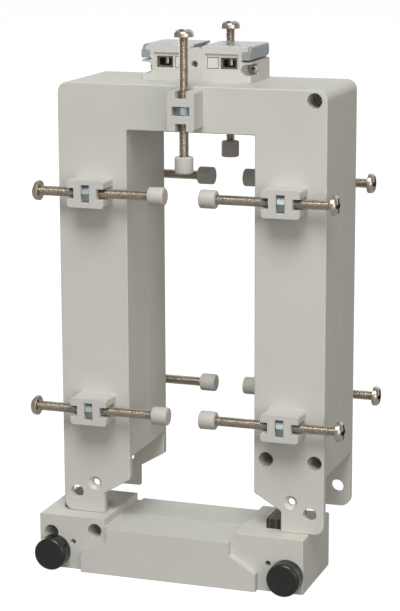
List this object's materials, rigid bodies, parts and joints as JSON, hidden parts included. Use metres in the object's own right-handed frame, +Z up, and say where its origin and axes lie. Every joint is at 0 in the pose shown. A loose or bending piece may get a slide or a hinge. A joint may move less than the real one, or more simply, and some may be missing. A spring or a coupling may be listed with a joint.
{
  "type": "split-core current transformer",
  "caption": "Tall split-core current transformer with a busbar window, screw clamps, a loosened bolt-on yoke and a lidded terminal unit on top.",
  "frame": {"origin": "centre of the yoke's underside, on the surface it stands on", "axes": "+X across the window to the right, +Y from the front face to the rear, +Z up"},
  "size_m": [0.1974, 0.1039, 0.3343],
  "materials": {
    "housing": "fine-grained light grey moulding",
    "bracket": "fine-grained light grey moulding",
    "cap": "smooth light grey moulding",
    "terminal": "fine-grained light grey moulding",
    "plug": "smooth pale grey moulding",
    "lid": "clear smoke-grey moulding",
    "knob": "glossy black moulding",
    "clamp_screw": "nickel-plated steel",
    "nut": "bright zinc plate",
    "fastener": "zinc-plated steel",
    "insert": "turned brass",
    "contact": "plated steel strip",
    "core": "stacked silicon steel strip, varnished",
    "bobbin": "black moulding",
    "winding": "enamelled copper wire"
  },
  "bodies": {
    "transformer": {"front_housing": "housing", "rear_housing": "housing", "yoke_front_shell": "housing", "yoke_rear_shell": "housing", "upper_core": "core", "yoke_core": "core", "left_bobbin": "bobbin", "left_winding": "winding", "left_terminal_block": "terminal", "left_cage_clamp": "contact", "left_blanking_plug": "plug", "right_bobbin": "bobbin", "right_winding": "winding", "right_terminal_block": "terminal", "right_cage_clamp": "contact", "right_blanking_plug": "plug", "housing_screws": "fastener", "yoke_screws": "fastener", "terminal_screws": "fastener", "fixing_screws": "fastener", "thread_inserts": "insert", "hex_nuts": "nut", "terminal_bridge": "terminal", "front_upper_left_bracket": "bracket", "front_upper_right_bracket": "bracket", "front_lower_left_bracket": "bracket", "front_lower_right_bracket": "bracket", "front_beam_bracket": "bracket", "rear_upper_left_bracket": "bracket", "rear_upper_right_bracket": "bracket", "rear_lower_left_bracket": "bracket", "rear_lower_right_bracket": "bracket", "rear_beam_bracket": "bracket"},
    "front_upper_left_clamp": {"front_upper_left_screw": "clamp_screw", "front_upper_left_cap": "cap"},
    "front_upper_right_clamp": {"front_upper_right_screw": "clamp_screw", "front_upper_right_cap": "cap"},
    "front_lower_left_clamp": {"front_lower_left_screw": "clamp_screw", "front_lower_left_cap": "cap"},
    "front_lower_right_clamp": {"front_lower_right_screw": "clamp_screw", "front_lower_right_cap": "cap"},
    "front_beam_clamp": {"front_beam_screw": "clamp_screw", "front_beam_cap": "cap"},
    "rear_upper_left_clamp": {"rear_upper_left_screw": "clamp_screw", "rear_upper_left_cap": "cap"},
    "rear_upper_right_clamp": {"rear_upper_right_screw": "clamp_screw", "rear_upper_right_cap": "cap"},
    "rear_lower_left_clamp": {"rear_lower_left_screw": "clamp_screw", "rear_lower_left_cap": "cap"},
    "rear_lower_right_clamp": {"rear_lower_right_screw": "clamp_screw", "rear_lower_right_cap": "cap"},
    "rear_beam_clamp": {"rear_beam_screw": "clamp_screw", "rear_beam_cap": "cap"},
    "left_thumbscrew": {"left_knob": "knob", "left_stud": "fastener"},
    "left_lid": {"left_terminal_lid": "lid"},
    "right_thumbscrew": {"right_knob": "knob", "right_stud": "fastener"},
    "right_lid": {"right_terminal_lid": "lid"}
  },
  "joints": [
    {"name": "front_upper_left_screw_travel", "type": "slide", "parent": "transformer", "child": "front_upper_left_clamp", "axis": [1, 0, 0], "range_m": [-0.0265, 0.0111]},
    {"name": "front_upper_right_screw_travel", "type": "slide", "parent": "transformer", "child": "front_upper_right_clamp", "axis": [-1, 0, 0], "range_m": [-0.0283, 0.0093]},
    {"name": "front_lower_left_screw_travel", "type": "slide", "parent": "transformer", "child": "front_lower_left_clamp", "axis": [1, 0, 0], "range_m": [-0.0278, 0.0098]},
    {"name": "front_lower_right_screw_travel", "type": "slide", "parent": "transformer", "child": "front_lower_right_clamp", "axis": [-1, 0, 0], "range_m": [-0.0288, 0.0088]},
    {"name": "front_beam_screw_travel", "type": "slide", "parent": "transformer", "child": "front_beam_clamp", "axis": [0, 0, -1], "range_m": [-0.0149, 0.0081]},
    {"name": "rear_upper_left_screw_travel", "type": "slide", "parent": "transformer", "child": "rear_upper_left_clamp", "axis": [1, 0, 0], "range_m": [-0.0278, 0.0098]},
    {"name": "rear_upper_right_screw_travel", "type": "slide", "parent": "transformer", "child": "rear_upper_right_clamp", "axis": [-1, 0, 0], "range_m": [-0.029, 0.0086]},
    {"name": "rear_lower_left_screw_travel", "type": "slide", "parent": "transformer", "child": "rear_lower_left_clamp", "axis": [1, 0, 0], "range_m": [-0.0291, 0.0085]},
    {"name": "rear_lower_right_screw_travel", "type": "slide", "parent": "transformer", "child": "rear_lower_right_clamp", "axis": [-1, 0, 0], "range_m": [-0.0289, 0.0087]},
    {"name": "rear_beam_screw_travel", "type": "slide", "parent": "transformer", "child": "rear_beam_clamp", "axis": [0, 0, -1], "range_m": [-0.0167, 0.0063]},
    {"name": "left_thumbscrew_travel", "type": "slide", "parent": "transformer", "child": "left_thumbscrew", "axis": [0, -1, 0], "range_m": [0, 0.011]},
    {"name": "left_lid_hinge", "type": "hinge", "parent": "transformer", "child": "left_lid", "pos_m": [0.0067, 0.04, 0.3182], "axis": [-1, 0, 0], "range_deg": [0, 90]},
    {"name": "right_thumbscrew_travel", "type": "slide", "parent": "transformer", "child": "right_thumbscrew", "axis": [0, -1, 0], "range_m": [0, 0.011]},
    {"name": "right_lid_hinge", "type": "hinge", "parent": "transformer", "child": "right_lid", "pos_m": [0.0067, 0.04, 0.3182], "axis": [-1, 0, 0], "range_deg": [0, 90]}
  ]
}
